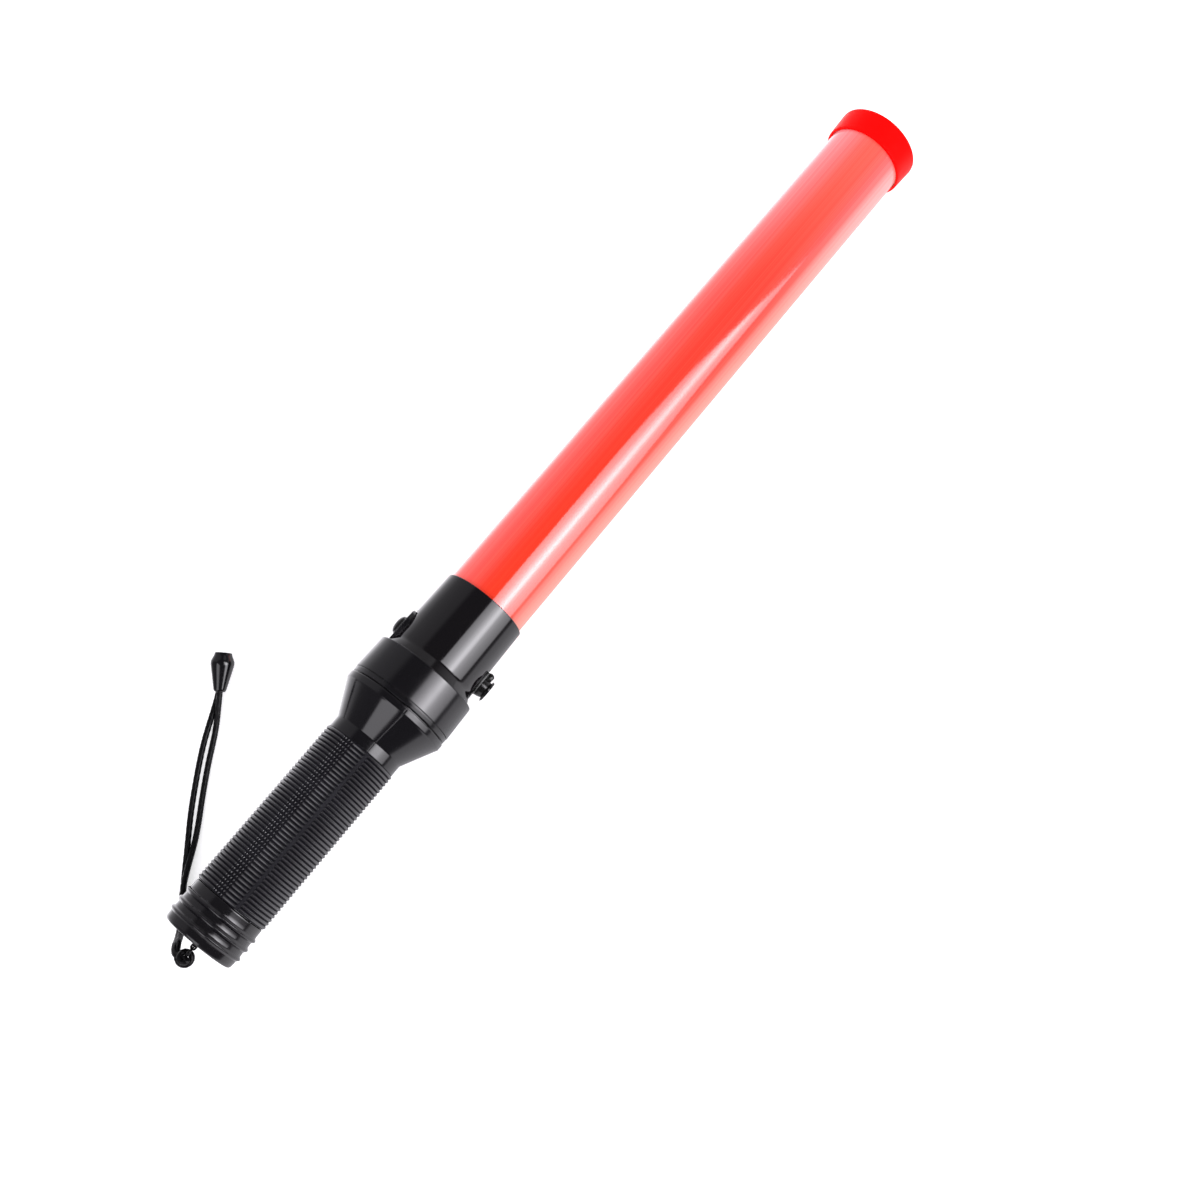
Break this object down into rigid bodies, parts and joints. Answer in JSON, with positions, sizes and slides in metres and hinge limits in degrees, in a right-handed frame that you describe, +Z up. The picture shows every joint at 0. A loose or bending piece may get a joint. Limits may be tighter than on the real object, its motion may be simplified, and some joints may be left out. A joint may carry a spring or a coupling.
{
  "type": "traffic baton light",
  "caption": "Hand-held rechargeable traffic baton: ribbed black grip and head, black neck with button and covered charging socket, long red tube with a tip cap, wrist cord on the tail.",
  "frame": {"origin": "on the baton's axis, in the plane of the tail cap's end face, at the flat face of the strap anchor under its eye", "axes": "+X along the baton from the tail to the tip, +Y towards the push button, +Z up with the baton lying on a table"},
  "size_m": [0.5525, 0.1123, 0.0565],
  "materials": {
    "ribbed_plastic": "moulded black plastic with fine ribs, satin",
    "black_plastic": "glossy black moulded plastic",
    "red_tube": "translucent red plastic tube, glossy",
    "prismatic_film": "clear ribbed film",
    "red_cap": "solid bright red plastic",
    "rubber": "soft black rubber, satin",
    "cord": "smooth braided black cord with a sheen",
    "white_plastic": "plain white plastic",
    "steel": "plated spring steel",
    "brass": "plain brass",
    "cell_wrap": "shrink-wrapped cell",
    "foam": "closed-cell foam",
    "circuit_board": "glass-epoxy board with green mask",
    "electronics": "black moulded epoxy",
    "led_lens": "red epoxy lens",
    "red_wire": "red wire sleeve",
    "black_wire": "black wire sleeve"
  },
  "bodies": {
    "handle": {"handle_shell": "ribbed_plastic", "head_collar": "black_plastic", "neck_sleeve": "black_plastic", "red_tube": "red_tube", "diffuser_sleeve": "prismatic_film", "tip_cap": "red_cap", "battery_cell": "cell_wrap", "cell_sleeve": "white_plastic", "contact_holder": "white_plastic", "front_contact": "brass", "contact_pad": "foam", "earth_strip": "brass", "control_board": "circuit_board", "driver_chip": "electronics", "capacitor": "electronics", "charge_diode": "electronics", "led_board": "circuit_board", "board_holder": "white_plastic", "board_end_disc": "white_plastic", "led_top_1": "led_lens", "led_top_2": "led_lens", "led_top_3": "led_lens", "led_top_4": "led_lens", "led_top_5": "led_lens", "led_top_6": "led_lens", "led_bottom_1": "led_lens", "led_bottom_2": "led_lens", "led_bottom_3": "led_lens", "led_bottom_4": "led_lens", "led_bottom_5": "led_lens", "led_bottom_6": "led_lens", "switch_bezel": "black_plastic", "switch_body": "electronics", "dc_jack": "electronics", "jack_pin": "brass", "jack_nut": "steel", "wire_cell_red": "red_wire", "wire_cell_black": "black_wire", "wire_jack_red": "red_wire", "wire_jack_black": "black_wire", "wire_switch_red": "red_wire", "wire_switch_black": "black_wire", "wire_led_red": "red_wire", "wire_led_black": "black_wire"},
    "button": {"switch_button": "rubber", "button_spring": "steel"},
    "charge_cover": {"port_cover": "rubber"},
    "strap_mount": {"tail_swivel": "black_plastic"},
    "screw_cap": {"tail_cap": "black_plastic", "tail_seal": "rubber", "tail_contact_ring": "brass", "tail_spring": "steel"},
    "strap": {"strap_loop": "cord", "strap_knot": "cord", "strap_cord": "cord", "cord_lock": "black_plastic"}
  },
  "joints": [
    {"name": "button_press", "type": "slide", "parent": "handle", "child": "button", "axis": [0, -1, 0], "range_m": [0, 0.0015], "stiffness_N_per_m": 40, "springref_m": -0.001},
    {"name": "cover_open", "type": "hinge", "parent": "handle", "child": "charge_cover", "pos_m": [0.1628, -0.0224, 0], "axis": [0, 0, -1], "range_deg": [0, 80]},
    {"name": "cap_out", "type": "slide", "parent": "handle", "child": "strap_mount", "axis": [-1, 0, 0], "range_m": [0, 0.012]},
    {"name": "cap_turn", "type": "hinge", "parent": "strap_mount", "child": "screw_cap", "pos_m": [0, 0, 0], "axis": [-1, 0, 0], "range_deg": [0, 1080]},
    {"name": "strap_swing", "type": "hinge", "parent": "strap_mount", "child": "strap", "pos_m": [-0.00256, 0, 0], "axis": [0, 0, 1], "range_deg": [-15, 65]}
  ],
  "couplings": [
    {"joint": "cap_turn", "follows": "cap_out", "rad_per_m": 1570.8}
  ]
}
